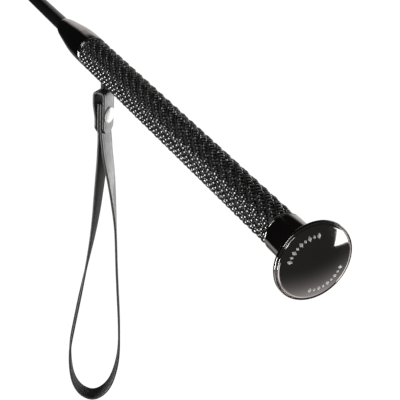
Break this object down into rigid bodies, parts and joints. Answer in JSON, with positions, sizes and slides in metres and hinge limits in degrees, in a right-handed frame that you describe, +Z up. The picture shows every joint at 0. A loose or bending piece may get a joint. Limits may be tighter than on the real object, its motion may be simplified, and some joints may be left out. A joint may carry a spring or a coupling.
{
  "type": "riding crop",
  "caption": "Riding crop with a mushroom knob, a grip wound in black rhinestone ribbon, a tapered shaft, a leather tongue and a leather wrist strap hanging under the grip.",
  "frame": {"origin": "on the crop's axis, at the middle of the grip, where a hand closes round it", "axes": "+X along the crop from the knob to the tongue, +Z up, with the wrist strap hanging towards -Z"},
  "size_m": [0.7031, 0.04, 0.2673],
  "materials": {
    "black_nickel": "polished black nickel plating",
    "steel": "plain turned steel",
    "brass": "plain turned brass",
    "black_plastic": "moulded, matt",
    "glass_fibre": "pultruded glass fibre in resin",
    "lacquer": "glossy black lacquer over thread",
    "stones": "faceted black stones set close on a ribbon",
    "leather": "smooth black bridle leather, polished, edges inked",
    "thread": "waxed black thread, wound close",
    "white_metal": "polished white metal"
  },
  "bodies": {
    "handle": {"knob_cap": "black_nickel", "knob_stud": "steel", "stud_insert": "brass", "neck_collar": "black_nickel", "grip_core": "black_plastic", "stone_wrap": "stones", "ferrule": "black_nickel", "ferrule_bush": "black_plastic", "shaft_rod": "glass_fibre", "shaft_cover": "lacquer", "rod_tip_cap": "black_plastic", "tongue_root": "leather", "tongue_whipping": "thread", "strap_boss": "black_nickel", "strap_screw": "steel", "screw_washer": "steel"},
    "strap_tab": {"strap_tab": "leather", "strap_tail_front": "leather", "strap_tail_back": "leather", "rivet_cap": "white_metal", "rivet_post": "white_metal"},
    "wrist_loop": {"wrist_loop": "leather"},
    "tongue": {"tongue_layer_left": "leather", "tongue_layer_right": "leather"}
  },
  "joints": [
    {"name": "tab_swivel", "type": "hinge", "parent": "handle", "child": "strap_tab", "pos_m": [0.1007, 0, -0.0166], "axis": [0, 0, 1], "continuous": true},
    {"name": "loop_swing", "type": "hinge", "parent": "strap_tab", "child": "wrist_loop", "pos_m": [0.09949, -0.00089, -0.0475], "axis": [0.5916, -0.8062, 0], "range_deg": [-85, 85]},
    {"name": "tongue_flex", "type": "hinge", "parent": "handle", "child": "tongue", "pos_m": [0.5012, 0, 0], "axis": [0, 0, 1], "range_deg": [-60, 60], "stiffness_Nm_per_rad": 0.05}
  ]
}
